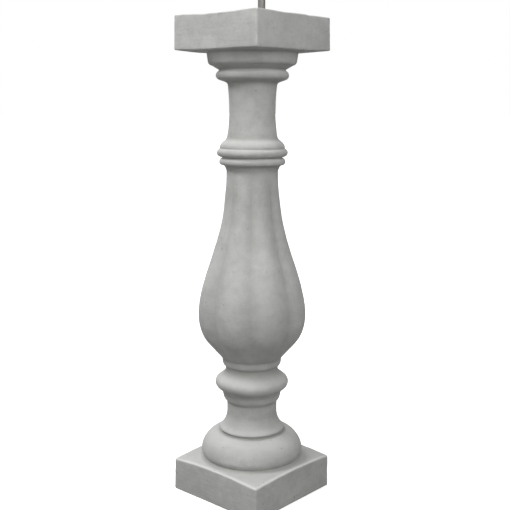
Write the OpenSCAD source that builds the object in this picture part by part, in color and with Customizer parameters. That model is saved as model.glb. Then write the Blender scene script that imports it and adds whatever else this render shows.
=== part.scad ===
// Cast-stone baluster, made in one piece: a square plinth, a torus foot, a waisted stem with
// a ring, a pear-shaped vase of eight shallow lobes, a collar, a waisted shaft and a square
// cap. The end of the steel bar that was cast in stands out of the cap.
// Millimetres, +Z up. The origin is the centre of the plinth's underside.

/* [Overall] */
// Height from the underside to the top of the cap; the vase takes up what the rest leaves
baluster_h = 670; // [560:5:800]

/* [Plinth] */
// Side of the square plinth
plinth_w = 161; // [146:1:200]
// Height of the plinth at its corners
plinth_h = 46.5; // [30:1:70]
// Rise of the plinth's top from its corners to the foot of the torus
plinth_wash = 4; // [1:0.5:8]
// Rounding of the upright corners of the plinth and the cap
corner_round = 2; // [1:0.5:6]

/* [Foot] */
// How far the torus stays inside the faces of the plinth
torus_inset = 7.5; // [4:1:20]
// Radius of the torus in section
torus_round = 32; // [24:1:36]
// Height of the torus below its widest line
torus_foot_h = 9; // [4:1:16]
// Radius of the lip at the bottom of the scotia
lip_r = 45.5; // [42:0.5:48]
// Height of the lip
lip_h = 3.5; // [2:0.5:6]
// Height of the hollow of the scotia
scotia_h = 25; // [16:0.5:36]
// Radius of the waist above the scotia
waist_r = 35.5; // [30:0.5:38]
// Height of the waist
waist_h = 16; // [8:1:30]

/* [Ring] */
// Radius of the fillet below the ring, at its bottom
ring_fillet_r = 38.8; // [38:0.1:41]
// Height of the fillet below the ring
ring_fillet_h = 11; // [5:1:20]
// Outward lean of that fillet
ring_fillet_flare = 2.7; // [0:0.1:4]
// Largest radius of the ring
ring_r = 52.2; // [50:0.5:60]
// Radius of the ring in section
ring_round = 9.4; // [8:0.5:12]
// Height of the ring's sloped underside, up to its widest line
ring_under_h = 15.5; // [14:0.5:22]
// Radius of the neck between the ring and the vase
ring_neck_r = 37.5; // [34:0.5:40]
// Height of that neck above the ring's top
ring_neck_h = 15.5; // [6:0.5:24]

/* [Vase] */
// Radius of the fillet that the vase stands on
vase_fillet_r = 42; // [41:0.5:46]
// Height of the slope below that fillet
vase_fillet_slope_h = 4.5; // [2:0.5:8]
// Height of that fillet
vase_fillet_h = 8; // [4:0.5:14]
// Radius of the vase at its foot
vase_foot_r = 43.5; // [42:0.5:50]
// Radius of the belly, measured in the grooves
belly_r = 73.6; // [60:0.2:76]
// Height of the belly above the vase's foot
belly_rise = 68; // [45:1:90]
// Fullness of the belly below its widest line, where more is fuller
belly_fullness = 1.2; // [1:0.01:1.6]
// Radius of the vase at its top
vase_top_r = 36.4; // [30:0.2:40]
// How soon the vase draws in above the belly, where less is sooner
shoulder_ease = 0.88; // [0.7:0.01:1.1]
// How slender the vase's shoulder is, where more is more slender
shoulder_lean = 1.34; // [1:0.01:1.6]
// Number of lobes around the vase
lobes = 8; // [6:1:12]
// How far a lobe's crest stands out from the grooves beside it
lobe_depth = 2.4; // [0.5:0.1:4]
// Turn of the lobes against the faces of the plinth
lobe_turn = -3; // [-10:1:10]

/* [Collar] */
// Height of the cove under the collar
collar_cove = 7; // [4:0.5:9]
// Largest radius of the lower, smaller bead
small_bead_r = 45.5; // [44:0.5:48]
// Radius of the lower bead in section
small_bead_round = 5.7; // [4:0.1:7]
// Largest radius of the upper bead
large_bead_r = 48.8; // [46:0.2:56]
// Radius of the upper bead in section
large_bead_round = 5.3; // [4:0.1:7]
// Width of the groove between the beads
bead_gap = 1.2; // [0.5:0.1:3]
// Depth of that groove under the lower bead's widest line
bead_gap_depth = 1.7; // [1:0.1:3]
// Radius of the shoulder where it leaves the upper bead
dome_r = 45; // [43:0.5:48]
// Height of the rounded shoulder
dome_h = 13.5; // [8:0.5:20]

/* [Shaft] */
// Radius of the shaft at its foot
shaft_foot_r = 34.3; // [32:0.1:38]
// Radius of the shaft at its narrowest
shaft_waist_r = 31.7; // [28:0.1:33]
// Radius of the shaft at its top
shaft_top_r = 33.2; // [32:0.1:36]
// Height of the shaft from its foot to its narrowest
shaft_low_h = 39; // [20:0.5:80]
// Height of the shaft from its narrowest to its top
shaft_high_h = 33; // [20:0.5:80]

/* [Necking] */
// Height of the cove at the top of the shaft
neck_cove = 4.7; // [3:0.1:8]
// How far that cove comes out
neck_cove_out = 2.4; // [1:0.1:5]
// Height of the astragal's sloped underside, up to its widest line
astragal_under_h = 10; // [8:0.5:14]
// Largest radius of the astragal
astragal_r = 49.4; // [47:0.2:54]
// Radius of the astragal in section
astragal_round = 6.2; // [4:0.1:8]
// Largest radius of the ovolo
ovolo_r = 62; // [55:0.5:70]
// Rounding of the ovolo's underside
ovolo_round = 18; // [10:0.5:22]
// Height of the ovolo's upright part
ovolo_upright_h = 4.5; // [2:0.5:10]

/* [Cap] */
// Side of the square cap
cap_w = 150; // [136:1:190]
// Height of the cap at its corners
cap_h = 45; // [30:1:70]
// Fall of the cap's underside from its corners to the ovolo
cap_wash = 2.5; // [1:0.5:6]

/* [Steel bar] */
// Diameter of the bar
rod_d = 10; // [6:1:16]
// Length of the bar that stands out of the cap
rod_rise = 60; // [20:5:120]
// Length of the bar that is cast into the cap and the shaft
rod_depth = 110; // [50:5:120]
// Thickness of the cement slurry that coats the cast-in length, which bonds it
rod_slurry = 0.2; // [0.2:0.1:1]
// Place of the bar off the axis, along X
rod_x = 9; // [-12:0.5:12]
// Place of the bar off the axis, along Y
rod_y = 8; // [-12:0.5:12]

/* [Hidden] */
$fn = 96;

// Levels from the plinth up to the foot of the vase
torus_foot_z = plinth_h + plinth_wash;
torus_r = plinth_w / 2 - torus_inset;
torus_z = torus_foot_z + torus_foot_h;
torus_spine_r = torus_r - torus_round;
lip_z = torus_z + sqrt(torus_round ^ 2 - (lip_r - torus_spine_r) ^ 2);
scotia_top_z = lip_z + lip_h + scotia_h;
ring_fillet_z = scotia_top_z + waist_h;
ring_foot_z = ring_fillet_z + ring_fillet_h;
ring_z = ring_foot_z + ring_under_h;
ring_top_z = ring_z + ring_round;
vase_fillet_z = ring_top_z + ring_neck_h + vase_fillet_slope_h;
vase_foot_z = vase_fillet_z + vase_fillet_h;

// How far the collar's cove runs up into the lower bead
cove_lap = 1;
// How far it ends inside that bead's widest line
cove_inset = 2;

// Levels from the cap down to the top of the vase
cap_z = baluster_h - cap_h;
ovolo_top_z = cap_z - cap_wash;
ovolo_round_z = ovolo_top_z - ovolo_upright_h;
astragal_z = ovolo_round_z - ovolo_round - astragal_round - 1;
shaft_top_z = astragal_z - astragal_under_h - neck_cove;
shaft_waist_z = shaft_top_z - shaft_high_h;
shaft_foot_z = shaft_waist_z - shaft_low_h;
dome_z = shaft_foot_z - dome_h;
large_bead_z = dome_z - large_bead_round + 1.8;
small_bead_z = large_bead_z - large_bead_round - bead_gap - small_bead_round;
vase_top_z = small_bead_z - small_bead_round + cove_lap - collar_cove;

// The vase: its widest line, and how finely its surface is divided
belly_z = vase_foot_z + belly_rise;
sides_per_lobe = 8;
rings_below_belly = 11;
rings_above_belly = 19;
// How far the stem and the collar reach into the vase, to make one casting with it
joint_h = 5;
// Step outward from the vase to the foot of the collar's cove
vase_ledge = 0.2;
// How deep a bead's sloped underside runs into its round
slope_bed = 0.3;
// Heights over which the grooves fade out below and above
fade_low_h = 32;
fade_high_h = 36;

function mix(a, b, t) = a + (b - a) * t;
function smooth(t) = let (u = min(max(t, 0), 1)) u * u * (3 - 2 * u);

// Radius of the vase in its grooves, at height z
function groove_r(z) =
    z < belly_z
    ? mix(vase_foot_r, belly_r, cos(90 * ((belly_z - z) / belly_rise) ^ belly_fullness))
    : mix(vase_top_r, belly_r,
          ((1 + cos(180 * ((z - belly_z) / (vase_top_z - belly_z)) ^ shoulder_ease)) / 2)
          ^ shoulder_lean);

// How strongly the lobes show at height z, from 0 to 1
function lobe_fade(z) =
    smooth((z - vase_foot_z) / fade_low_h) * smooth((vase_top_z - z) / fade_high_h);

// Radius of the vase at height z and angle a: round lobes that meet in sharp grooves
function vase_r(z, a) =
    groove_r(z) + lobe_depth * lobe_fade(z) * abs(sin(lobes / 2 * (a - lobe_turn)));

// The mouldings below are half profiles, to be turned about the axis: x is the radius and
// y the height.

// An upright band of radius r and height h that stands on height z
module band(z, h, r) {
    translate([0, z]) square([r, h]);
}

// A slope from radius r_low at height z to radius r_high at z + h
module slope(z, h, r_low, r_high) {
    polygon([[0, z], [r_low, z], [r_high, z + h], [0, z + h]]);
}

// A bead of largest radius r, with its widest line at height z
module bead(z, r, round) {
    translate([r - round, z]) circle(r = round);
    band(z - round, 2 * round, r - round);
}

// The slope under a bead: it leaves radius r at height z and ends just inside the round of
// the bead of radius bead_r at height bead_z
module underside(z, r, bead_z, bead_r, round) {
    bed_r = round - slope_bed;
    run = bead_r - round - r;
    reach = norm([run, bead_z - z]);
    angle = atan2(bead_z - z, run) - asin(bed_r / reach);
    length = sqrt(reach ^ 2 - bed_r ^ 2);
    slope(z, length * sin(angle), r, r + length * cos(angle));
}

// A hollow moulding: upright at radius r_in at height z, curving out to r_out at z + h.
// A negative h turns it upside down.
module hollow(z, h, r_in, r_out) {
    out = r_out - r_in;
    round = (out ^ 2 + h ^ 2) / (2 * out);
    difference() {
        band(min(z, z + h), abs(h), r_out);
        translate([r_in + round, z]) circle(r = round, $fn = 360);
    }
}

// A swelling moulding: upright at radius r_out at height z, curving in to r_in at z + h.
// A negative h turns it upside down.
module swell(z, h, r_out, r_in) {
    in = r_out - r_in;
    round = (in ^ 2 + h ^ 2) / (2 * in);
    intersection() {
        band(min(z, z + h), abs(h), r_out);
        union() {
            translate([r_out - round, z]) circle(r = round);
            band(min(z, z + h), abs(h), r_in);
        }
    }
}

// The torus and the waist above it, up to the fillet below the ring
module foot_profile() {
    band(torus_foot_z - joint_h, 2 * joint_h, torus_spine_r);
    intersection() {
        band(torus_foot_z, torus_foot_h + torus_round, torus_r);
        bead(torus_z, torus_r, torus_round);
    }
    band(torus_z, lip_z + lip_h - torus_z, lip_r);
    hollow(scotia_top_z, -scotia_h, waist_r, lip_r);
    band(scotia_top_z, waist_h, waist_r);
}

// The ring with the fillet below it, and the neck and fillet that carry the vase
module ring_profile() {
    fillet_top_r = ring_fillet_r + ring_fillet_flare;
    slope(ring_fillet_z, ring_fillet_h, ring_fillet_r, fillet_top_r);
    underside(ring_foot_z, fillet_top_r, ring_z, ring_r, ring_round);
    bead(ring_z, ring_r, ring_round);
    band(ring_z, ring_top_z + ring_neck_h - ring_z, ring_neck_r);
    slope(ring_top_z + ring_neck_h, vase_fillet_slope_h, ring_neck_r, vase_fillet_r);
    band(vase_fillet_z, vase_fillet_h, vase_fillet_r);
    band(vase_foot_z - joint_h, 2 * joint_h, ring_neck_r - joint_h);
}

// The collar: a cove, two beads with a groove between them, and a rounded shoulder
module collar_profile() {
    core_r = small_bead_r - bead_gap_depth;
    band(vase_top_z - joint_h, 2 * joint_h, vase_top_r - joint_h);
    hollow(vase_top_z, collar_cove, vase_top_r + vase_ledge, small_bead_r - cove_inset);
    bead(small_bead_z, small_bead_r, small_bead_round);
    band(small_bead_z, dome_z - small_bead_z, core_r);
    bead(large_bead_z, large_bead_r, large_bead_round);
    swell(dome_z, dome_h, dome_r, shaft_foot_r);
}

// The waisted shaft, with the cove at its top
module shaft_profile() {
    hollow(shaft_waist_z, -shaft_low_h, shaft_waist_r, shaft_foot_r);
    hollow(shaft_waist_z, shaft_high_h, shaft_waist_r, shaft_top_r);
    hollow(shaft_top_z, neck_cove, shaft_top_r, shaft_top_r + neck_cove_out);
}

// The astragal and the ovolo under the cap
module necking_profile() {
    cove_r = shaft_top_r + neck_cove_out;
    underside(shaft_top_z + neck_cove, cove_r, astragal_z, astragal_r, astragal_round);
    bead(astragal_z, astragal_r, astragal_round);
    band(astragal_z, ovolo_round_z - astragal_z, astragal_r - astragal_round / 2);
    swell(ovolo_round_z, -ovolo_round, ovolo_r, ovolo_r - ovolo_round);
    band(ovolo_round_z, ovolo_upright_h, ovolo_r);
    band(ovolo_top_z - joint_h, 2 * joint_h, ovolo_r - ovolo_round);
}

// The stem below the vase, with the torus, the waist and the ring
module lower_stem() {
    rotate_extrude() {
        foot_profile();
        ring_profile();
    }
}

// The stem above the vase, with the collar, the shaft and the necking
module upper_stem() {
    rotate_extrude() {
        collar_profile();
        shaft_profile();
        necking_profile();
    }
}

// The lobed vase: closed rings of points, one above the other
module vase() {
    sides = lobes * sides_per_lobe;
    levels = concat(
        [for (i = [0 : rings_below_belly - 1]) mix(vase_foot_z, belly_z, i / rings_below_belly)],
        [for (i = [0 : rings_above_belly]) mix(belly_z, vase_top_z, i / rings_above_belly)]
    );
    points = [
        for (z = levels, i = [0 : sides - 1])
            let (a = lobe_turn + i * 360 / sides, r = vase_r(z, a))
            [r * cos(a), r * sin(a), z]
    ];
    top = (len(levels) - 1) * sides;
    walls = [
        for (k = [0 : len(levels) - 2], i = [0 : sides - 1])
            let (j = (i + 1) % sides, low = k * sides, high = low + sides)
            each [[low + i, high + j, low + j], [low + i, high + i, high + j]]
    ];
    ends = [
        [for (i = [0 : sides - 1]) i],
        [for (i = [0 : sides - 1]) top + sides - 1 - i]
    ];
    polyhedron(points = points, faces = concat(walls, ends));
}

// A square block of side w and height h with rounded upright corners
module block(w, h) {
    linear_extrude(height = h) {
        square([w - 2 * corner_round, w], center = true);
        square([w, w - 2 * corner_round], center = true);
        for (x = [-1, 1], y = [-1, 1])
            translate([x, y] * (w / 2 - corner_round)) circle(r = corner_round);
    }
}

// The plinth: a square block whose top rises to the torus as a shallow cone
module plinth() {
    corner_r = plinth_w / sqrt(2);
    intersection() {
        block(plinth_w, torus_foot_z);
        rotate_extrude() {
            band(0, plinth_h, corner_r);
            slope(plinth_h, plinth_wash, corner_r, torus_r);
        }
    }
}

// The cap: a square block whose underside falls to the ovolo as a shallow cone
module cap() {
    corner_r = cap_w / sqrt(2);
    intersection() {
        translate([0, 0, ovolo_top_z]) block(cap_w, cap_wash + cap_h);
        rotate_extrude() {
            slope(ovolo_top_z, cap_wash, ovolo_r, corner_r);
            band(cap_z, cap_h, corner_r);
        }
    }
}

// The bar's cast-in length with its coat of slurry, which is also the hole's shape
module cast_in_length() {
    translate([rod_x, rod_y, baluster_h - rod_depth])
        cylinder(h = rod_depth, d = rod_d + 2 * rod_slurry);
}

// The whole casting, with the hole that the bar fills
module baluster() {
    color("#a3a39e") union() {
        plinth();
        lower_stem();
        vase();
        difference() {
            union() {
                upper_stem();
                cap();
            }
            cast_in_length();
        }
    }
}

// The steel bar: a plain round, cut off square at both ends
module reinforcing_rod() {
    color("#6f6a64") union() {
        cast_in_length();
        translate([rod_x, rod_y, baluster_h - rod_depth])
            cylinder(h = rod_depth + rod_rise, d = rod_d);
    }
}

baluster();
reinforcing_rod();
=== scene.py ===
from math import atan2, copysign, cos, pi, radians, sin

import bpy
import numpy as np
from mathutils import Matrix, Vector


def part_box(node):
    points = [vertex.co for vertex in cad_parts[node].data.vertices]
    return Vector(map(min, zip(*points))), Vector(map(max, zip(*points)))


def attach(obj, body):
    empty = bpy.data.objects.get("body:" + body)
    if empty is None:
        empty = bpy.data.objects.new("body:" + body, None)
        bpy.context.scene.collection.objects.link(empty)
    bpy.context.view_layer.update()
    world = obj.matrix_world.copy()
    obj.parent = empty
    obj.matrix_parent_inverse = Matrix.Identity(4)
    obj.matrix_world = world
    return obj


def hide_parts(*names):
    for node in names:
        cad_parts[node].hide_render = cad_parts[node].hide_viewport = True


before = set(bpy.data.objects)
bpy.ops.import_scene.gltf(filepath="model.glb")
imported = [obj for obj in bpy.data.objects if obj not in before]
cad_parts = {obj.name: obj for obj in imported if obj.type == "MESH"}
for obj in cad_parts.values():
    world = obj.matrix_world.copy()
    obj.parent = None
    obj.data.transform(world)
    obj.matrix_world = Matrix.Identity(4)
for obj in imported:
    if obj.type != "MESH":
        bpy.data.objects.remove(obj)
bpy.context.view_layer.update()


# ---------------------------------------------------------------- the casting's outline
# The baluster is one casting of stiff cement mortar, copied in a mould from a turned
# pattern. Every moulding is drawn here as half of its profile, radius and height in
# millimetres, from the foot of the torus up to the ovolo under the cap.
MM = 0.001
casting_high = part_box("baluster")[1]
bar_low, bar_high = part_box("reinforcing_rod")
casting_h = casting_high.z / MM
plinth_half = casting_high.x / MM

plinth_h, wash_top_z = 46.5, 50.5
torus_r = plinth_half - 7.5
vase_foot_z, belly_z, vase_top_z = 199.6, 267.6, casting_h - 204.8
vase_foot_r, belly_r, vase_top_r = 43.5, 72.5, 35.6
astragal_z, ovolo_top_z = casting_h - 78.0, casting_h - 47.5
ovolo_r = 62


def quarter(r0, z0, r1, z1, steps):
    """A quarter-round or a cove: it leaves (r0, z0) upright and bends over to (r1, z1)."""
    out, up = r1 - r0, z1 - z0
    bend = (out ** 2 + up ** 2) / (2 * abs(out))
    turn = atan2(abs(up), bend - abs(out))
    return [
        (r0 + copysign(bend * (1 - cos(t)), out), z0 + copysign(bend * sin(t), up))
        for t in np.linspace(0, turn, steps + 1)
    ]


def bead(r, z, rounding, below, above, steps):
    """A bead's round, from an angle below its widest line to an angle above it."""
    return [
        (r - rounding * (1 - cos(t)), z + rounding * sin(t))
        for t in np.linspace(radians(-below), radians(above), steps + 1)
    ]


def groove_r(z):
    """The vase's radius in its grooves, at height z."""
    if z < belly_z:
        down = (belly_z - z) / (belly_z - vase_foot_z)
        return vase_foot_r + (belly_r - vase_foot_r) * cos(pi / 2 * down ** 1.2)
    up = (z - belly_z) / (vase_top_z - belly_z)
    return vase_top_r + (belly_r - vase_top_r) * ((1 + cos(pi * up ** 0.88)) / 2) ** 1.34


# a small cove joins the plinth's top to the torus
outline = [(75.2, 50.3), (73.0, 50.9), (70.9, 52.3), (68.8, 54.0)]
# the torus, the quirk under the scotia's lip, the scotia and the waist
outline += bead(torus_r, 62.0, 9, 54, 0, 8)
outline += bead(torus_r, 59.5, 32, -4.5, 70, 36)
outline += [
    (50.2, 90.1), (47.6, 89.7), (44.2, 89.3), (43.6, 90.6), (44.4, 92.2), (46.2, 93.2), (46.4, 94.8),
]
outline += quarter(35.5, 119.7, 45.9, 95.3, 18)[::-1]
outline += [(35.6, 134.0)]
# the ring: a rounded fillet under it, and a slope from its round up into the neck
outline += [(36.4, 135.4), (38.9, 137.2), (40.3, 140.6), (41.5, 146.7), (43.4, 150.4)]
outline += bead(52.2, 162.2, 9.4, 64, 38, 20)
outline += [(48.2, 169.6), (44.6, 172.3), (41.2, 174.9), (38.8, 177.6), (37.4, 180.4), (37.2, 183.0)]
outline += [(37.6, 186.8), (40.6, 188.2), (41.8, 191.6), (42.2, 199.2)]
# the vase, along its grooves
outline += [(groove_r(z), z) for z in np.linspace(vase_foot_z, vase_top_z, 160)]
# the collar: a cove, two beads with a quirk over each, and a rounded shoulder
outline += quarter(36.6, casting_h - 204.6, 42.6, casting_h - 197.8, 8)
outline += bead(45.5, casting_h - 193.9, 5.4, 52, 62, 12)
outline += [(41.0, casting_h - 189.0), (41.0, casting_h - 187.6)]
outline += bead(48.8, casting_h - 181.6, 5.6, 84, 74, 15)
outline += [
    (r, casting_h - drop)
    for r, drop in (
        (44.1, 175.8), (45.0, 175.0), (44.7, 172.8), (43.5, 170.2), (41.7, 167.9),
        (39.3, 165.9), (36.8, 163.9), (34.8, 161.4),
    )
]
# the waisted shaft and the cove at its top
outline += quarter(31.7, casting_h - 124.9, 34.2, casting_h - 158.6, 20)[::-1]
outline += quarter(31.7, casting_h - 124.9, 33.2, casting_h - 91.9, 18)
outline += quarter(33.2, casting_h - 91.7, 35.8, casting_h - 87.0, 5)
# the astragal and the ovolo
outline += bead(49.6, astragal_z, 6.2, 62, 68, 16)
outline += [(45.0, casting_h - 71.6), (45.2, casting_h - 70.4)]
# its underside slopes, its face stands nearly upright, and a tight round joins them
outline += [(50.4, casting_h - 67.6), (55.0, casting_h - 64.8)]
outline += quarter(60.2, casting_h - 59.5, 55.0, casting_h - 64.8, 8)[::-1]
outline += [(ovolo_r, ovolo_top_z), (ovolo_r + 2.0, ovolo_top_z + 0.2)]


def along(points, spacing):
    """The same line with its points evenly spaced."""
    points = np.array(points, float)
    run = np.concatenate([[0], np.cumsum(np.hypot(*np.diff(points, axis=0).T))])
    at = np.linspace(0, run[-1], int(run[-1] / spacing) + 1)
    return np.stack([np.interp(at, run, points[:, i]) for i in (0, 1)], 1)


def eased(points, reach, spacing):
    """The line with its corners eased over a reach, as mortar leaves a worn mould."""
    half = int(3 * reach / spacing)
    weight = np.exp(-0.5 * (np.arange(-half, half + 1) * spacing / reach) ** 2)
    wide = np.pad(points, ((half, half), (0, 0)), mode="reflect", reflect_type="odd")
    return np.stack(
        [np.convolve(wide[:, i], weight / weight.sum(), "valid") for i in (0, 1)], 1
    )


FINE = 0.4
edge_wear, hollow_reach = 0.8, 5
drawn = along(outline, FINE)
cast_line = eased(drawn, edge_wear, FINE)
# how deep each point lies in a hollow of the profile, in millimetres
heading = np.gradient(cast_line, axis=0)
outward = np.stack([heading[:, 1], -heading[:, 0]], 1)
outward /= np.linalg.norm(outward, axis=1)[:, None]
sunk = ((eased(cast_line, hollow_reach, FINE) - cast_line) * outward).sum(1)
# rings lie 1.0 to 2.5 mm apart, and closer together where the profile bends
bend = np.abs(np.gradient(np.unwrap(np.arctan2(heading[:, 1], heading[:, 0])))) / FINE
bend_near = eased(np.stack([bend, bend], 1), 1.5, FINE)[:, 0]
turn_per_ring = 0.42
ring_gap = np.clip(turn_per_ring / np.maximum(bend_near, 1e-3), 1.0, 2.5)
ring_count = np.cumsum(FINE / ring_gap)
rings_at = np.interp(np.arange(int(ring_count[-1])), ring_count, np.arange(len(cast_line)))
turned = [
    tuple(np.interp(i, np.arange(len(cast_line)), v) for v in (*cast_line.T, sunk))
    for i in rings_at
]


# ---------------------------------------------------------------- the casting's body
# The same casting as a closed skin: the square plinth, the turned part and the square cap
# follow one another as rings, and the last rings close round the bar and line its hole.
# The blocks' arrises are soft, because wet mortar slumps there and dry mortar crumbles.
SECTORS = 232
lobes, lobe_turn = 8, radians(-3)
block_corners = np.radians([45, 135, 225, 315])
block_grooves = lobe_turn + np.arange(lobes) * 2 * pi / lobes

# more sectors at the blocks' corners and beside the vase's grooves
round_trip = np.linspace(-pi, pi, 7201)
crowding = np.ones_like(round_trip)
for angles, much, width in ((block_corners, 5.0, 2.0), (block_grooves, 1.2, 2.2)):
    for a in angles:
        away = np.degrees(np.angle(np.exp(1j * (round_trip - a))))
        crowding += much * np.exp(-((away / width) ** 2))
share = np.concatenate([[0], np.cumsum((crowding[1:] + crowding[:-1]) / 2)])
theta = np.interp(np.arange(SECTORS) / SECTORS, share / share[-1], round_trip)
for a in np.concatenate([block_corners, block_grooves]):
    theta[np.argmin(np.abs(np.angle(np.exp(1j * (theta - a)))))] = np.angle(np.exp(1j * a))
ray = np.stack([np.cos(theta), np.sin(theta)], 1)


def block_r(half, rounding):
    """How far the rounded square block reaches in each sector's direction."""
    far, near = np.abs(ray).max(1), np.abs(ray).min(1)
    inner = half - rounding
    flat = half / far
    b = inner * (far + near)
    corner = b + np.sqrt(np.maximum(b ** 2 - 2 * inner ** 2 + rounding ** 2, 0))
    return np.where(flat * near <= inner, flat, corner)


def slump(depths, width):
    """How far an arris sinks round the block, given for its four corners in turn."""
    sunk_by = np.zeros(SECTORS)
    for a, depth in zip(block_corners, depths):
        away = np.degrees(np.angle(np.exp(1j * (theta - a))))
        sunk_by += depth * np.exp(-((away / width) ** 2))
    return sunk_by


def walk(corners, spacing):
    """Rings along a section's straight runs, with every corner between them rounded off.

    A corner is (radius, height, rounding); radius and height may differ round the block.
    """
    points = [
        np.stack([np.broadcast_to(np.asarray(v, float), SECTORS) for v in c[:2]], 1)
        for c in corners
    ]
    rings = []
    start = points[0]
    for i in range(1, len(points)):
        last = i == len(points) - 1
        back = points[i - 1] - points[i]
        cut = 0 if last else corners[i][2]
        before = points[i] + back / np.linalg.norm(back, axis=1)[:, None] * cut
        steps = max(1, round(float(np.linalg.norm(before - start, axis=1).mean()) / spacing))
        rings += [start + (before - start) * k / steps for k in range(steps + 1)]
        if last:
            break
        on = points[i + 1] - points[i]
        after = points[i] + on / np.linalg.norm(on, axis=1)[:, None] * cut
        rings += [
            before * (1 - t) ** 2 + points[i] * 2 * t * (1 - t) + after * t ** 2
            for t in (0.25, 0.5, 0.75)
        ]
        start = after
    return rings


# the plinth: its top is a shallow cone, so its arris rises a little between the corners
block_spacing = 1.9
corner_reach = plinth_half * 2 ** 0.5
wash_slope = (wash_top_z - plinth_h) / (corner_reach - torus_r)
plinth_low = block_r(plinth_half - 0.35, 3.0)
plinth_high = block_r(plinth_half - 0.9, 3.5)
plinth_arris_z = plinth_h + wash_slope * (corner_reach - plinth_high)
plinth_arris_z = plinth_arris_z - slump((0.6, 0.5, 1.2, 0.0), 9)
plinth_rings = walk(
    [
        (plinth_low * 0.04, 0, 0),
        (plinth_low * 0.6, 0, 0.5),
        (plinth_low, 0, 2.2),
        (plinth_high, plinth_arris_z, 3.0),
        (turned[0][0] + 0.8, turned[0][1] - 0.05, 0),
    ],
    block_spacing,
)
# the thirty rings or so of the flat underside need no such spacing
underside = [r for r in plinth_rings if r[:, 1].max() < 1e-6 and r[:, 0].mean() < 70]
plinth_rings = underside[::9] + plinth_rings[len(underside):]

# the cap: its underside falls a little to the ovolo, and its top lies a little hollow
cap_half, cap_top_z = 75.0, casting_h - 1.0
cap_slope = 2.5 / (cap_half * 2 ** 0.5 - ovolo_r)
cap_low = block_r(cap_half + 0.2, 3.0)
cap_high = block_r(cap_half - 0.35, 3.5)
cap_under_z = ovolo_top_z + cap_slope * (cap_low - ovolo_r) - slump((0.0, 0.3, 0.3, 1.5), 12)
cap_arris_z = casting_h - 0.6 + slump((-0.9, 0.4, 1.6, 1.6), 18)
cap_rings = walk(
    [
        (ovolo_r + 2.8, ovolo_top_z + 0.25, 0),
        (cap_low, cap_under_z, 2.4),
        (cap_high, cap_arris_z, 2.2),
        (cap_high - 9, cap_top_z, 0),
    ],
    block_spacing,
)

# the cap's top closes round the bar, where the mortar was pressed up against it
bar_x = (bar_low.x + bar_high.x) / 2 / MM
bar_y = (bar_low.y + bar_high.y) / 2 / MM
hole_r = (bar_high.x - bar_low.x) / 2 / MM + 0.02
hole_bottom_z = bar_low.z / MM - 0.1
mound_h, mound_reach = 3.0, 5.5
# a hollow of the profile this deep counts as a full one, and the painted shade with some
# dirt round the bar fades 14 mm from it
full_hollow, bar_shade_and_dirt_reach = 1.1, 14

skin, hollow_at = [], []
for radius, ring_z in ((r[:, 0], r[:, 1]) for r in plinth_rings):
    skin.append(np.column_stack([ray * radius[:, None], ring_z]))
    hollow_at.append(np.zeros(SECTORS))
for radius, ring_z, sink in turned:
    skin.append(np.column_stack([ray * radius, np.full(SECTORS, ring_z)]))
    hollow_at.append(np.full(SECTORS, np.clip(sink / full_hollow, 0, 1)))
for radius, ring_z in ((r[:, 0], r[:, 1]) for r in cap_rings):
    skin.append(np.column_stack([ray * radius[:, None], ring_z]))
    hollow_at.append(np.zeros(SECTORS))
edge = skin[-1][:, :2]
rim = np.array([bar_x, bar_y]) + ray * hole_r
for t in list(np.linspace(0, 0.8, 15)[1:]) + list(np.linspace(0.8, 1, 12)[1:]):
    flat = edge * (1 - t) + rim * t
    away = np.hypot(flat[:, 0] - bar_x, flat[:, 1] - bar_y) - hole_r
    mound = mound_h * np.clip(1 - away / mound_reach, 0, 1) ** 2
    skin.append(np.column_stack([flat, cap_top_z + mound]))
    # the cap's top is painted darker round the bar's foot, as painted shade with some dirt
    hollow_at.append(np.clip(1 - away / bar_shade_and_dirt_reach, 0, 1))
for ring_z in (cap_top_z, casting_h - 40, hole_bottom_z):
    skin.append(np.column_stack([rim, np.full(SECTORS, ring_z)]))
    hollow_at.append(np.ones(SECTORS))

rings = len(skin)
points = np.concatenate(skin + [[(0, 0, 0), (bar_x, bar_y, hole_bottom_z)]])
here, right = np.arange(SECTORS), (np.arange(SECTORS) + 1) % SECTORS
faces = []
for k in range(rings - 1):
    low, high = k * SECTORS, (k + 1) * SECTORS
    faces += np.stack([low + here, low + right, high + right, high + here], 1).tolist()
last_ring = (rings - 1) * SECTORS
faces += [(rings * SECTORS, b, a) for a, b in zip(here.tolist(), right.tolist())]
faces += [
    (rings * SECTORS + 1, last_ring + a, last_ring + b)
    for a, b in zip(here.tolist(), right.tolist())
]

# how close each point lies to an arris of a block, from 0 to 1
arris_reach = 9
block_spans = ((plinth_half, 0, plinth_h + 2), (cap_half, ovolo_top_z + 1, casting_h))
x, y, z = points.T
near_arris = np.full(len(points), 99.0)
for half, low_z, high_z in block_spans:
    side_off = half - np.maximum(np.abs(x), np.abs(y))
    for level in (low_z, high_z):
        near_arris = np.minimum(near_arris, np.hypot(side_off, z - level))
    within = (z > low_z - 3) & (z < high_z + 3)
    upright = np.hypot(half - np.abs(x), half - np.abs(y))
    near_arris = np.minimum(near_arris, np.where(within, upright, 99))
arris = np.clip(1 - near_arris / arris_reach, 0, 1)

body = bpy.data.meshes.new("casting")
body.from_pydata((points * MM).tolist(), [], faces)
body.attributes.new("arris", "FLOAT", "POINT").data.foreach_set("value", arris.astype(np.float32))
deep = np.concatenate(hollow_at + [[0, 1]]).astype(np.float32)
body.attributes.new("hollow", "FLOAT", "POINT").data.foreach_set("value", deep)
body.polygons.foreach_set("use_smooth", [True] * len(body.polygons))
baluster = bpy.data.objects.new("cast_baluster", body)
bpy.context.scene.collection.objects.link(baluster)


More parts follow.
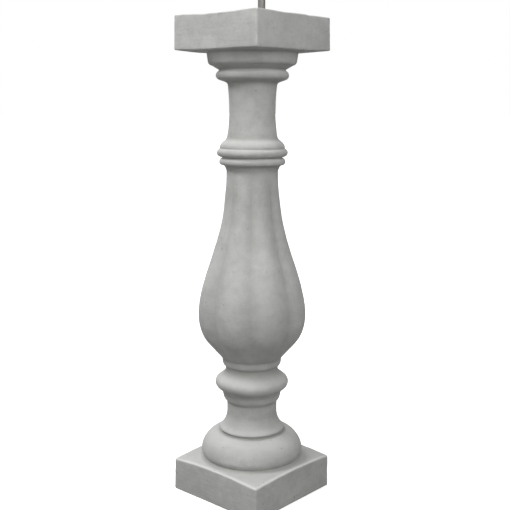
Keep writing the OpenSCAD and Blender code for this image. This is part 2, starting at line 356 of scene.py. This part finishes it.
# ---------------------------------------------------------------- cast cement
# Cast stone: grey cement with fine river sand, poured, struck off and left as it came from
# the mould. It gives the eye a dry, even grey that clouds over a hand's breadth, a sandy
# tooth and a few air holes. Painted light from above makes faces that look up paler and faces
# that look down darker, upward arrises are painted paler, partly as wear and partly as a
# painted highlight, and painted shade with a little dirt darkens the hollows and the holes.


def colour(hex_code):
    """An sRGB hex value as linear light."""
    parts = [int(hex_code[i:i + 2], 16) / 255 for i in (1, 3, 5)]
    return [c / 12.92 if c <= 0.04045 else ((c + 0.055) / 1.055) ** 2.4 for c in parts] + [1]


def node(tree, kind, inputs=None, **settings):
    """Adds a node with its settings; each input is given a value or another's output."""
    made = tree.nodes.new(kind)
    for name, value in settings.items():
        setattr(made, name, value)
    for socket, value in (inputs or {}).items():
        if isinstance(value, bpy.types.NodeSocket):
            tree.links.new(value, made.inputs[socket])
        else:
            made.inputs[socket].default_value = value
    return made


cement = bpy.data.materials.new("cast_cement_mortar")
cement.use_nodes = True
tree = cement.node_tree
tree.nodes.clear()
place = node(tree, "ShaderNodeTexCoord").outputs["Object"]
# clouding: the water bleeds unevenly, over 60 mm and again over 14 mm
cloud = node(tree, "ShaderNodeTexNoise", {"Vector": place, "Scale": 17, "Detail": 3, "Roughness": 0.55})
bloom = node(tree, "ShaderNodeTexNoise", {"Vector": place, "Scale": 72, "Detail": 4, "Roughness": 0.6})
# sand: grains of 0.6 mm, drawn at 1.2 mm so that they show
sand = node(tree, "ShaderNodeTexNoise", {"Vector": place, "Scale": 820, "Detail": 2, "Roughness": 0.6})
base = node(
    tree, "ShaderNodeMix",
    {0: node(tree, "ShaderNodeMapRange", {"Value": cloud.outputs[0], 1: 0.35, 2: 0.65}).outputs[0],
     6: colour("#b0b0ae"), 7: colour("#bcbcba")},
    data_type="RGBA",
).outputs[2]
base = node(
    tree, "ShaderNodeMix",
    {0: node(tree, "ShaderNodeMapRange", {"Value": bloom.outputs[0], 1: 0.4, 2: 0.7, 4: 0.4}).outputs[0],
     6: base, 7: colour("#9c9c9a")},
    data_type="RGBA",
).outputs[2]
base = node(
    tree, "ShaderNodeMix",
    {0: node(tree, "ShaderNodeMapRange", {"Value": sand.outputs[0], 1: 0.52, 2: 0.8, 4: 0.45}).outputs[0],
     6: base, 7: colour("#85857f")},
    data_type="RGBA",
).outputs[2]
# painted light from above: faces that look up are painted paler, and faces that look down
# are painted darker, as painted shade
facing = node(tree, "ShaderNodeNewGeometry").outputs["Normal"]
upward = node(tree, "ShaderNodeSeparateXYZ", {0: facing}).outputs["Z"]
painted_top_light = node(tree, "ShaderNodeMapRange", {"Value": upward, 1: 0.1, 2: 0.8, 4: 0.45}).outputs[0]
base = node(
    tree, "ShaderNodeMix",
    {0: painted_top_light, 6: base, 7: colour("#dadad8")}, data_type="RGBA",
).outputs[2]
painted_under_shade = node(tree, "ShaderNodeMapRange", {"Value": upward, 1: 0.15, 2: -0.7, 4: 0.25}).outputs[0]
base = node(
    tree, "ShaderNodeMix",
    {0: painted_under_shade, 6: base, 7: colour("#858580")}, data_type="RGBA",
).outputs[2]
# arrises that face upward are painted paler: partly real wear, partly a painted highlight
edge_wear_and_highlight = node(tree, "ShaderNodeAttribute", attribute_name="arris").outputs["Fac"]
edge_wear_and_highlight = node(tree, "ShaderNodeMapRange", {"Value": edge_wear_and_highlight, 1: 0.3, 2: 0.8}).outputs[0]
uphill = node(tree, "ShaderNodeMapRange", {"Value": upward, 1: 0.15, 2: 0.6, 4: 0.8}).outputs[0]
rubbed_and_highlit = node(tree, "ShaderNodeMath", {0: edge_wear_and_highlight, 1: uphill}, operation="MULTIPLY").outputs[0]
base = node(
    tree, "ShaderNodeMix",
    {0: rubbed_and_highlit, 6: base, 7: colour("#e2e2e0")}, data_type="RGBA",
).outputs[2]
# painted shade, with some dirt, darkens the hollows of the mouldings, the grooves between
# the lobes and the cap's top round the bar
deep_here = node(tree, "ShaderNodeAttribute", attribute_name="hollow").outputs["Fac"]
shade_and_dirt = node(tree, "ShaderNodeMath", {0: deep_here, 1: 0.4}, operation="MULTIPLY").outputs[0]
base = node(
    tree, "ShaderNodeMix",
    {0: shade_and_dirt, 6: base, 7: colour("#7f7f7a")}, data_type="RGBA",
).outputs[2]
# air holes: one cell of 5 mm in six has a round hole, up to 2 mm across
holes = node(tree, "ShaderNodeTexVoronoi", {"Vector": place, "Scale": 200, "Randomness": 1})
chosen = node(tree, "ShaderNodeSeparateColor", {0: holes.outputs["Color"]}).outputs[0]
wide = node(tree, "ShaderNodeMapRange", {"Value": chosen, 1: 0.84, 2: 1.0, 3: 0.0, 4: 0.2}).outputs[0]
from_centre = holes.outputs["Distance"]
inside = node(tree, "ShaderNodeMath", {0: wide, 1: from_centre}, operation="SUBTRACT").outputs[0]
hole = node(
    tree, "ShaderNodeMapRange", {"Value": inside, 1: 0.0, 2: 0.06},
    interpolation_type="SMOOTHSTEP",
).outputs[0]
# the holes are painted darker, as painted shade inside them
pit_shade = node(tree, "ShaderNodeMath", {0: hole, 1: 0.55}, operation="MULTIPLY").outputs[0]
base = node(
    tree, "ShaderNodeMix",
    {0: pit_shade, 6: base, 7: colour("#5e5e5a")}, data_type="RGBA",
).outputs[2]
# relief: the tooth of the sand, a lumpier float finish, strokes left by the mould's turned
# pattern and by the float, 40 mm long and 4 mm wide, and the holes
lying = node(tree, "ShaderNodeMapping", {"Vector": place, "Scale": (25, 25, 230)}).outputs[0]
stroke = node(
    tree, "ShaderNodeTexNoise",
    {"Vector": lying, "Scale": 1, "Detail": 3, "Roughness": 0.55},
).outputs[0]
tooth = node(tree, "ShaderNodeBump", {"Height": sand.outputs[0], "Distance": 0.0002, "Strength": 0.7})
lumps = node(
    tree, "ShaderNodeBump",
    {"Height": node(tree, "ShaderNodeTexNoise", {"Vector": place, "Scale": 230, "Detail": 3}).outputs[0],
     "Distance": 0.0006, "Strength": 0.5, "Normal": tooth.outputs[0]},
)
strokes = node(
    tree, "ShaderNodeBump",
    {"Height": stroke, "Distance": 0.0009, "Strength": 0.45, "Normal": lumps.outputs[0]},
)
sunken = node(
    tree, "ShaderNodeBump",
    {"Height": hole, "Distance": 0.0008, "Strength": 0.8, "Normal": strokes.outputs[0]}, invert=True,
)
rough = node(
    tree, "ShaderNodeMapRange",
    {"Value": bloom.outputs[0], 1: 0.3, 2: 0.7, 3: 0.8, 4: 0.92},
).outputs[0]
shader = node(
    tree, "ShaderNodeBsdfPrincipled",
    {"Base Color": base, "Roughness": rough, "IOR": 1.5, "Specular IOR Level": 0.35,
     "Normal": sunken.outputs[0]},
)
node(tree, "ShaderNodeOutputMaterial", {"Surface": shader.outputs[0]})


# ---------------------------------------------------------------- lobes and unevenness
# The vase's eight lobes follow one rule, and so does the unevenness that mortar keeps from
# a hand-made mould: long waves in the faces, a finer lumpiness, and arrises that crumble.
shaping = bpy.data.node_groups.new("lobed_casting", "GeometryNodeTree")
shaping.interface.new_socket("Geometry", in_out="INPUT", socket_type="NodeSocketGeometry")
shaping.interface.new_socket("Geometry", in_out="OUTPUT", socket_type="NodeSocketGeometry")
sizes = {
    "Lobes": ("NodeSocketInt", lobes),
    "Lobe Depth": ("NodeSocketFloat", 5.6 * MM),
    "Belly Radius": ("NodeSocketFloat", belly_r * MM),
    "Groove Softness": ("NodeSocketFloat", 0.2),
    "Lobe Turn": ("NodeSocketFloat", lobe_turn),
    "Vase Foot": ("NodeSocketFloat", vase_foot_z * MM),
    "Vase Top": ("NodeSocketFloat", vase_top_z * MM),
    "Foot Fade": ("NodeSocketFloat", 34 * MM),
    "Top Fade": ("NodeSocketFloat", 45 * MM),
    "Wave Height": ("NodeSocketFloat", 1.7 * MM),
    "Wave Length": ("NodeSocketFloat", 50 * MM),
    "Lump Height": ("NodeSocketFloat", 0.6 * MM),
    "Lump Length": ("NodeSocketFloat", 13 * MM),
    "Crumble": ("NodeSocketFloat", 0.9 * MM),
    "Seed": ("NodeSocketFloat", 4.0),
    "Material": ("NodeSocketMaterial", cement),
}
for name, (kind, value) in sizes.items():
    shaping.interface.new_socket(name, in_out="INPUT", socket_type=kind)
given = node(shaping, "NodeGroupInput").outputs
spot = node(shaping, "GeometryNodeInputPosition").outputs[0]
split = node(shaping, "ShaderNodeSeparateXYZ", {0: spot}).outputs
around = node(shaping, "ShaderNodeMath", {0: split["Y"], 1: split["X"]}, operation="ARCTAN2").outputs[0]
turned_by = node(
    shaping, "ShaderNodeMath",
    {0: around, 1: given["Lobe Turn"]}, operation="SUBTRACT",
).outputs[0]
half_lobes = node(
    shaping, "ShaderNodeMath",
    {0: given["Lobes"], 1: 0.5}, operation="MULTIPLY",
).outputs[0]
phase = node(shaping, "ShaderNodeMath", {0: turned_by, 1: half_lobes}, operation="MULTIPLY").outputs[0]
swing = node(shaping, "ShaderNodeMath", {0: phase}, operation="SINE").outputs[0]
# a lobe's section is half a sine wave, and a groove is that wave's corner rounded off
squared = node(shaping, "ShaderNodeMath", {0: swing, 1: swing}, operation="MULTIPLY").outputs[0]
softness = given["Groove Softness"]
soft_squared = node(
    shaping, "ShaderNodeMath",
    {0: softness, 1: softness}, operation="MULTIPLY",
).outputs[0]
rounded = node(shaping, "ShaderNodeMath", {0: squared, 1: soft_squared}, operation="ADD").outputs[0]
rounded = node(shaping, "ShaderNodeMath", {0: rounded}, operation="SQRT").outputs[0]
raised = node(shaping, "ShaderNodeMath", {0: rounded, 1: softness}, operation="SUBTRACT").outputs[0]
full = node(shaping, "ShaderNodeMath", {0: soft_squared, 1: 1.0}, operation="ADD").outputs[0]
full = node(shaping, "ShaderNodeMath", {0: full}, operation="SQRT").outputs[0]
full = node(shaping, "ShaderNodeMath", {0: full, 1: softness}, operation="SUBTRACT").outputs[0]
crest = node(shaping, "ShaderNodeMath", {0: raised, 1: full}, operation="DIVIDE").outputs[0]
# the lobes rise out of the vase's foot and die away under the collar
above_foot = node(
    shaping, "ShaderNodeMath",
    {0: split["Z"], 1: given["Vase Foot"]}, operation="SUBTRACT",
).outputs[0]
below_top = node(
    shaping, "ShaderNodeMath",
    {0: given["Vase Top"], 1: split["Z"]}, operation="SUBTRACT",
).outputs[0]
from_foot = node(
    shaping, "ShaderNodeMapRange", {"Value": above_foot, 1: 0.0, 2: given["Foot Fade"]},
    interpolation_type="SMOOTHSTEP",
).outputs[0]
from_top = node(
    shaping, "ShaderNodeMapRange", {"Value": below_top, 1: 0.0, 2: given["Top Fade"]},
    interpolation_type="SMOOTHSTEP",
).outputs[0]
shown = node(shaping, "ShaderNodeMath", {0: from_foot, 1: from_top}, operation="MULTIPLY").outputs[0]
# and they are as much shallower as the vase is slimmer
level = node(shaping, "ShaderNodeVectorMath", {0: spot, 1: (1, 1, 0)}, operation="MULTIPLY").outputs[0]
slim = node(shaping, "ShaderNodeVectorMath", {0: level}, operation="LENGTH").outputs["Value"]
slim = node(
    shaping, "ShaderNodeMath",
    {0: slim, 1: given["Belly Radius"]}, operation="DIVIDE",
).outputs[0]
depth = node(
    shaping, "ShaderNodeMath",
    {0: shown, 1: given["Lobe Depth"]}, operation="MULTIPLY",
).outputs[0]
depth = node(shaping, "ShaderNodeMath", {0: depth, 1: slim}, operation="MULTIPLY").outputs[0]
stand_out = node(shaping, "ShaderNodeMath", {0: depth, 1: crest}, operation="MULTIPLY").outputs[0]
radial = node(shaping, "ShaderNodeVectorMath", {0: level}, operation="NORMALIZE").outputs[0]
outward_by = node(
    shaping, "ShaderNodeVectorMath", {0: radial, "Scale": stand_out}, operation="SCALE",
).outputs[0]
lobed = node(
    shaping, "GeometryNodeSetPosition", {"Geometry": given["Geometry"], "Offset": outward_by},
).outputs[0]
# waves and lumps push the skin in or out along its normal, and never below the underside
uneven = None
for height, length, detail in (("Wave Height", "Wave Length", 1.0), ("Lump Height", "Lump Length", 2.0)):
    per_metre = node(
        shaping, "ShaderNodeMath",
        {0: 1.0, 1: given[length]}, operation="DIVIDE",
    ).outputs[0]
    noise = node(
        shaping, "ShaderNodeTexNoise",
        {"Vector": spot, "W": given["Seed"], "Scale": per_metre, "Detail": detail},
        noise_dimensions="4D",
    ).outputs[0]
    centred = node(shaping, "ShaderNodeMath", {0: noise, 1: 0.5}, operation="SUBTRACT").outputs[0]
    push = node(
        shaping, "ShaderNodeMath",
        {0: centred, 1: given[height]}, operation="MULTIPLY",
    ).outputs[0]
    uneven = push if uneven is None else node(
        shaping, "ShaderNodeMath", {0: uneven, 1: push}, operation="ADD").outputs[0]
# crumbs of mortar are lost along the arrises, in spots 16 mm long
crumbs = node(
    shaping, "ShaderNodeTexNoise",
    {"Vector": spot, "W": given["Seed"], "Scale": 1 / (16 * MM), "Detail": 1},
    noise_dimensions="4D",
).outputs[0]
loose = node(shaping, "ShaderNodeMapRange", {"Value": crumbs, 1: 0.42, 2: 0.78}).outputs[0]
arris_here = node(
    shaping, "GeometryNodeInputNamedAttribute",
    {"Name": "arris"}, data_type="FLOAT",
).outputs[0]
broken = node(shaping, "ShaderNodeMath", {0: loose, 1: arris_here}, operation="MULTIPLY").outputs[0]
lost = node(
    shaping, "ShaderNodeMath",
    {0: broken, 1: given["Crumble"]}, operation="MULTIPLY",
).outputs[0]
moved = node(shaping, "ShaderNodeMath", {0: uneven, 1: lost}, operation="SUBTRACT").outputs[0]
off_floor = node(shaping, "ShaderNodeMapRange", {"Value": split["Z"], 1: 0.0, 2: 3 * MM}).outputs[0]
moved = node(shaping, "ShaderNodeMath", {0: moved, 1: off_floor}, operation="MULTIPLY").outputs[0]
normal = node(shaping, "GeometryNodeInputNormal").outputs[0]
along_normal = node(
    shaping, "ShaderNodeVectorMath", {0: normal, "Scale": moved}, operation="SCALE",
).outputs[0]
weathered = node(
    shaping, "GeometryNodeSetPosition", {"Geometry": lobed, "Offset": along_normal},
).outputs[0]
# the grooves between the lobes are painted darker too, as painted shade with some dirt, by
# adding to the hollows that the material darkens
valley = node(shaping, "ShaderNodeMath", {0: 1.0, 1: crest}, operation="SUBTRACT").outputs[0]
valley = node(shaping, "ShaderNodeMath", {0: valley, 1: 2.0}, operation="POWER").outputs[0]
valley = node(shaping, "ShaderNodeMath", {0: valley, 1: shown}, operation="MULTIPLY").outputs[0]
valley = node(shaping, "ShaderNodeMath", {0: valley, 1: 0.4}, operation="MULTIPLY").outputs[0]
hollow_here = node(
    shaping, "GeometryNodeInputNamedAttribute",
    {"Name": "hollow"}, data_type="FLOAT",
).outputs[0]
shaded_and_soiled = node(
    shaping, "ShaderNodeMath",
    {0: hollow_here, 1: valley}, operation="ADD", use_clamp=True,
).outputs[0]
stored = node(
    shaping, "GeometryNodeStoreNamedAttribute",
    {"Geometry": weathered, "Name": "hollow", "Value": shaded_and_soiled},
    data_type="FLOAT", domain="POINT",
).outputs[0]
solid = node(shaping, "GeometryNodeRealizeInstances", {"Geometry": stored}).outputs[0]
finished = node(
    shaping, "GeometryNodeSetMaterial",
    {"Geometry": solid, "Material": given["Material"]},
).outputs[0]
node(shaping, "NodeGroupOutput", {"Geometry": finished})

cast = baluster.modifiers.new("casting", "NODES")
cast.node_group = shaping
for item in shaping.interface.items_tree:
    if item.in_out == "INPUT" and item.name in sizes:
        cast[item.identifier] = sizes[item.name][1]
seen = baluster.evaluated_get(bpy.context.evaluated_depsgraph_get())
shaped = bpy.data.meshes.new_from_object(seen)
baluster.modifiers.remove(cast)
baluster.data = shaped
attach(baluster, "root")
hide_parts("baluster")


# ---------------------------------------------------------------- the reinforcing bar
# A 10 mm round of hot-rolled mild steel, cropped to length with shears and stood in the
# mould before the pour. The cast-in length carries a thin coat of slurry; the free end
# keeps its mill scale and has cement splashed round its foot.
bar_sides = 48
bar_r = 5.0
coat_r = hole_r - 0.02
surface_z = casting_h - 0.5
bar_foot_z = hole_bottom_z + 0.1
bar_profile = [(0.0, bar_foot_z), (coat_r - 0.4, bar_foot_z), (coat_r, hole_bottom_z + 0.5)]
bar_profile += [(coat_r, surface_z - 0.4), (bar_r, surface_z)]
bar_top_z = bar_high.z / MM
bar_profile += [(bar_r, z) for z in np.linspace(surface_z, bar_top_z - 2.2, 30)[1:]]
bar_profile += [(bar_r - 0.05, bar_top_z - 1.2), (bar_r - 0.3, bar_top_z - 0.45)]
bar_profile += [(bar_r - 0.9, bar_top_z - 0.1), (bar_r * 0.6, bar_top_z), (bar_r * 0.25, bar_top_z)]
turns = np.arange(bar_sides) * 2 * pi / bar_sides
bar_points, bar_faces = [(bar_x, bar_y, bar_profile[0][1])], []
for r, z in bar_profile[1:]:
    # the shears press the end slightly out of round and leave its face a little slanted
    crop = np.clip((z - bar_top_z + 6) / 6, 0, 1)
    for t in turns:
        r_here = r * (1 - 0.05 * crop * sin(t) ** 2)
        slant = 0.5 * crop * (sin(t) - 1) / 2 * (r / bar_r)
        bar_points.append((bar_x + r_here * cos(t), bar_y + r_here * sin(t), z + slant))
bar_rings = len(bar_profile) - 1
for i in range(bar_sides):
    j = (i + 1) % bar_sides
    bar_faces.append((0, 1 + j, 1 + i))
    for k in range(bar_rings - 1):
        low, high = 1 + k * bar_sides, 1 + (k + 1) * bar_sides
        bar_faces.append((low + i, low + j, high + j, high + i))
    top = 1 + (bar_rings - 1) * bar_sides
    bar_faces.append((top + i, top + j, len(bar_points)))
bar_points.append((bar_x, bar_y, bar_top_z - 0.25))
bar_mesh = bpy.data.meshes.new("bar")
bar_mesh.from_pydata([Vector(p) * MM for p in bar_points], [], bar_faces)
bar_mesh.polygons.foreach_set("use_smooth", [True] * len(bar_mesh.polygons))
bar = bpy.data.objects.new("steel_bar", bar_mesh)
bpy.context.scene.collection.objects.link(bar)

# mill scale: a thin blue-grey oxide, half metallic, scuffed through in places and dulled
# by cement dust, so it shows soft, broken highlights
steel = bpy.data.materials.new("hot_rolled_mild_steel")
steel.use_nodes = True
tree = steel.node_tree
tree.nodes.clear()
place = node(tree, "ShaderNodeTexCoord").outputs["Object"]
# scuffs run along the bar: 2 mm wide and 12 mm long
drawn_out = node(tree, "ShaderNodeMapping", {"Vector": place, "Scale": (500, 500, 80)}).outputs[0]
scuff = node(
    tree, "ShaderNodeTexNoise",
    {"Vector": drawn_out, "Scale": 1, "Detail": 4, "Roughness": 0.6},
).outputs[0]
scale_tone = node(
    tree, "ShaderNodeMix",
    {0: node(tree, "ShaderNodeMapRange", {"Value": scuff, 1: 0.4, 2: 0.65}).outputs[0],
     6: colour("#6a6967"), 7: colour("#898783")},
    data_type="RGBA",
).outputs[2]
# cement splashes: all over the foot, and thinning out 12 mm above the cap
height_here = node(tree, "ShaderNodeSeparateXYZ", {0: place}).outputs["Z"]
low_down = node(
    tree, "ShaderNodeMapRange",
    {"Value": height_here, 1: casting_h * MM, 2: (casting_h + 12) * MM, 3: 1.0, 4: 0.0},
).outputs[0]
splash = node(tree, "ShaderNodeTexNoise", {"Vector": place, "Scale": 420, "Detail": 3}).outputs[0]
splashed = node(
    tree, "ShaderNodeMapRange",
    {"Value": node(tree, "ShaderNodeMath", {0: splash, 1: low_down}, operation="ADD").outputs[0],
     1: 0.95, 2: 1.1},
    interpolation_type="SMOOTHSTEP",
).outputs[0]
tone = node(
    tree, "ShaderNodeMix",
    {0: splashed, 6: scale_tone, 7: colour("#b0b0ae")}, data_type="RGBA",
).outputs[2]
metal = node(tree, "ShaderNodeMapRange", {"Value": splashed, 3: 0.55, 4: 0.0}).outputs[0]
dull = node(tree, "ShaderNodeMapRange", {"Value": splashed, 3: 0.5, 4: 0.9}).outputs[0]
scale_relief = node(tree, "ShaderNodeBump", {"Height": scuff, "Distance": 0.00015, "Strength": 0.5})
crust = node(
    tree, "ShaderNodeBump",
    {"Height": splashed, "Distance": 0.0003, "Strength": 0.7, "Normal": scale_relief.outputs[0]},
)
shader = node(
    tree, "ShaderNodeBsdfPrincipled",
    {"Base Color": tone, "Metallic": metal, "Roughness": dull, "Normal": crust.outputs[0]},
)
node(tree, "ShaderNodeOutputMaterial", {"Surface": shader.outputs[0]})
bar_mesh.materials.append(steel)
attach(bar, "root")
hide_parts("reinforcing_rod")


# ---------------------------------------------------------------- floor and light
# A pale matt floor, an even overcast sky and large soft lamps, the strongest of them high
# on the left. The floor looks white to the eye but throws back only a grey paving's light.
floor_mesh = bpy.data.meshes.new("floor")
floor_mesh.from_pydata([(-30, -30, 0), (30, -30, 0), (30, 30, 0), (-30, 30, 0)], [], [(0, 1, 2, 3)])
floor = bpy.data.objects.new("floor", floor_mesh)
bpy.context.scene.collection.objects.link(floor)
paving = bpy.data.materials.new("pale_matt_floor")
paving.use_nodes = True
tree = paving.node_tree
tree.nodes.clear()
path = node(tree, "ShaderNodeLightPath").outputs
eye = node(
    tree, "ShaderNodeMath",
    {0: path["Is Camera Ray"], 1: path["Is Glossy Ray"]}, operation="MAXIMUM",
)
eye = node(
    tree, "ShaderNodeMath",
    {0: eye.outputs[0], 1: path["Is Transmission Ray"]}, operation="MAXIMUM",
)
floor_tone = node(
    tree, "ShaderNodeMix",
    {0: eye.outputs[0], 6: colour("#707070"), 7: colour("#ffffff")},
    data_type="RGBA",
).outputs[2]
# the floor brightens away from the baluster, so that only its shadow shows against the sky
floor_spot = node(tree, "ShaderNodeTexCoord").outputs["Object"]
out_there = node(tree, "ShaderNodeVectorMath", {0: floor_spot}, operation="LENGTH").outputs["Value"]
brightening = node(
    tree, "ShaderNodeMapRange",
    {"Value": out_there, 1: 0.3, 2: 1.4, 3: 0.6, 4: 1.0},
).outputs[0]
glow = node(
    tree, "ShaderNodeMath",
    {0: eye.outputs[0], 1: brightening}, operation="MULTIPLY",
).outputs[0]
shader = node(
    tree, "ShaderNodeBsdfPrincipled",
    {"Base Color": floor_tone, "Roughness": 0.9, "Specular IOR Level": 0.1,
     "Emission Color": colour("#ffffff"), "Emission Strength": glow},
)
node(tree, "ShaderNodeOutputMaterial", {"Surface": shader.outputs[0]})
floor_mesh.materials.append(paving)

sky = bpy.data.worlds.new("overcast")
bpy.context.scene.world = sky
sky.use_nodes = True
tree = sky.node_tree
tree.nodes.clear()
path = node(tree, "ShaderNodeLightPath").outputs
eye = node(
    tree, "ShaderNodeMath",
    {0: path["Is Camera Ray"], 1: path["Is Transmission Ray"]}, operation="MAXIMUM",
)
day = node(tree, "ShaderNodeBackground", {"Color": colour("#ffffff"), "Strength": 0.36})
blank = node(tree, "ShaderNodeBackground", {"Color": colour("#ffffff"), "Strength": 1.0})
both = node(tree, "ShaderNodeMixShader", {0: eye.outputs[0], 1: day.outputs[0], 2: blank.outputs[0]})
node(tree, "ShaderNodeOutputWorld", {"Surface": both.outputs[0]})

# lamps: name, bearing from the front of the plinth, height angle, the part of the casting's
# height it points at, distance, width and power
view_bearing = 42.16
for name, bearing, lift, at, away, width, power in (
    ("high_left", view_bearing - 65, 52, 0.5, 1.8, 0.7, 15.0),
    ("low_left", view_bearing - 40, 12, 0.5, 1.8, 0.7, 5.0),
    ("low_front", view_bearing + 12, 12, 0.5, 1.8, 0.7, 3.0),
    ("low_right", view_bearing + 50, 14, 0.5, 1.8, 0.7, 5.4),
    ("cap_front", view_bearing + 10, 20, 0.95, 0.7, 0.35, 1.2),
    ("behind", view_bearing - 150, 35, 0.5, 1.8, 0.8, 9.0),
):
    lamp = bpy.data.lights.new(name, "AREA")
    lamp.shape = "DISK"
    lamp.size = width
    lamp.energy = power
    lit = bpy.data.objects.new(name, lamp)
    bpy.context.scene.collection.objects.link(lit)
    aim = Vector((0, 0, casting_h * MM * at))
    a, e = radians(bearing), radians(lift)
    lit.location = aim + Vector((sin(a) * cos(e), -cos(a) * cos(e), sin(e))) * away
    lit.rotation_euler = (aim - lit.location).to_track_quat("-Z", "Y").to_euler()


# ---------------------------------------------------------------- camera
# At a standing person's distance, a little below the cap, looking slightly down at the
# corner of the blocks.
eye_z, eye_away = 0.5569, 1.2034
look_down, look_right, tip = 0.1741, 0.0034, 0.0025
camera_data = bpy.data.cameras.new("camera")
camera_data.sensor_width = 36
camera_data.lens = 61.49
camera = bpy.data.objects.new("camera", camera_data)
bpy.context.scene.collection.objects.link(camera)
a = radians(view_bearing)
camera.matrix_world = (
    Matrix.Translation((sin(a) * eye_away, -cos(a) * eye_away, eye_z))
    @ Matrix.Rotation(a - look_right, 4, "Z")
    @ Matrix.Rotation(pi / 2 - look_down, 4, "X")
    @ Matrix.Rotation(tip, 4, "Z")
)
bpy.context.scene.camera = camera
bpy.context.scene.view_settings.view_transform = "Standard"
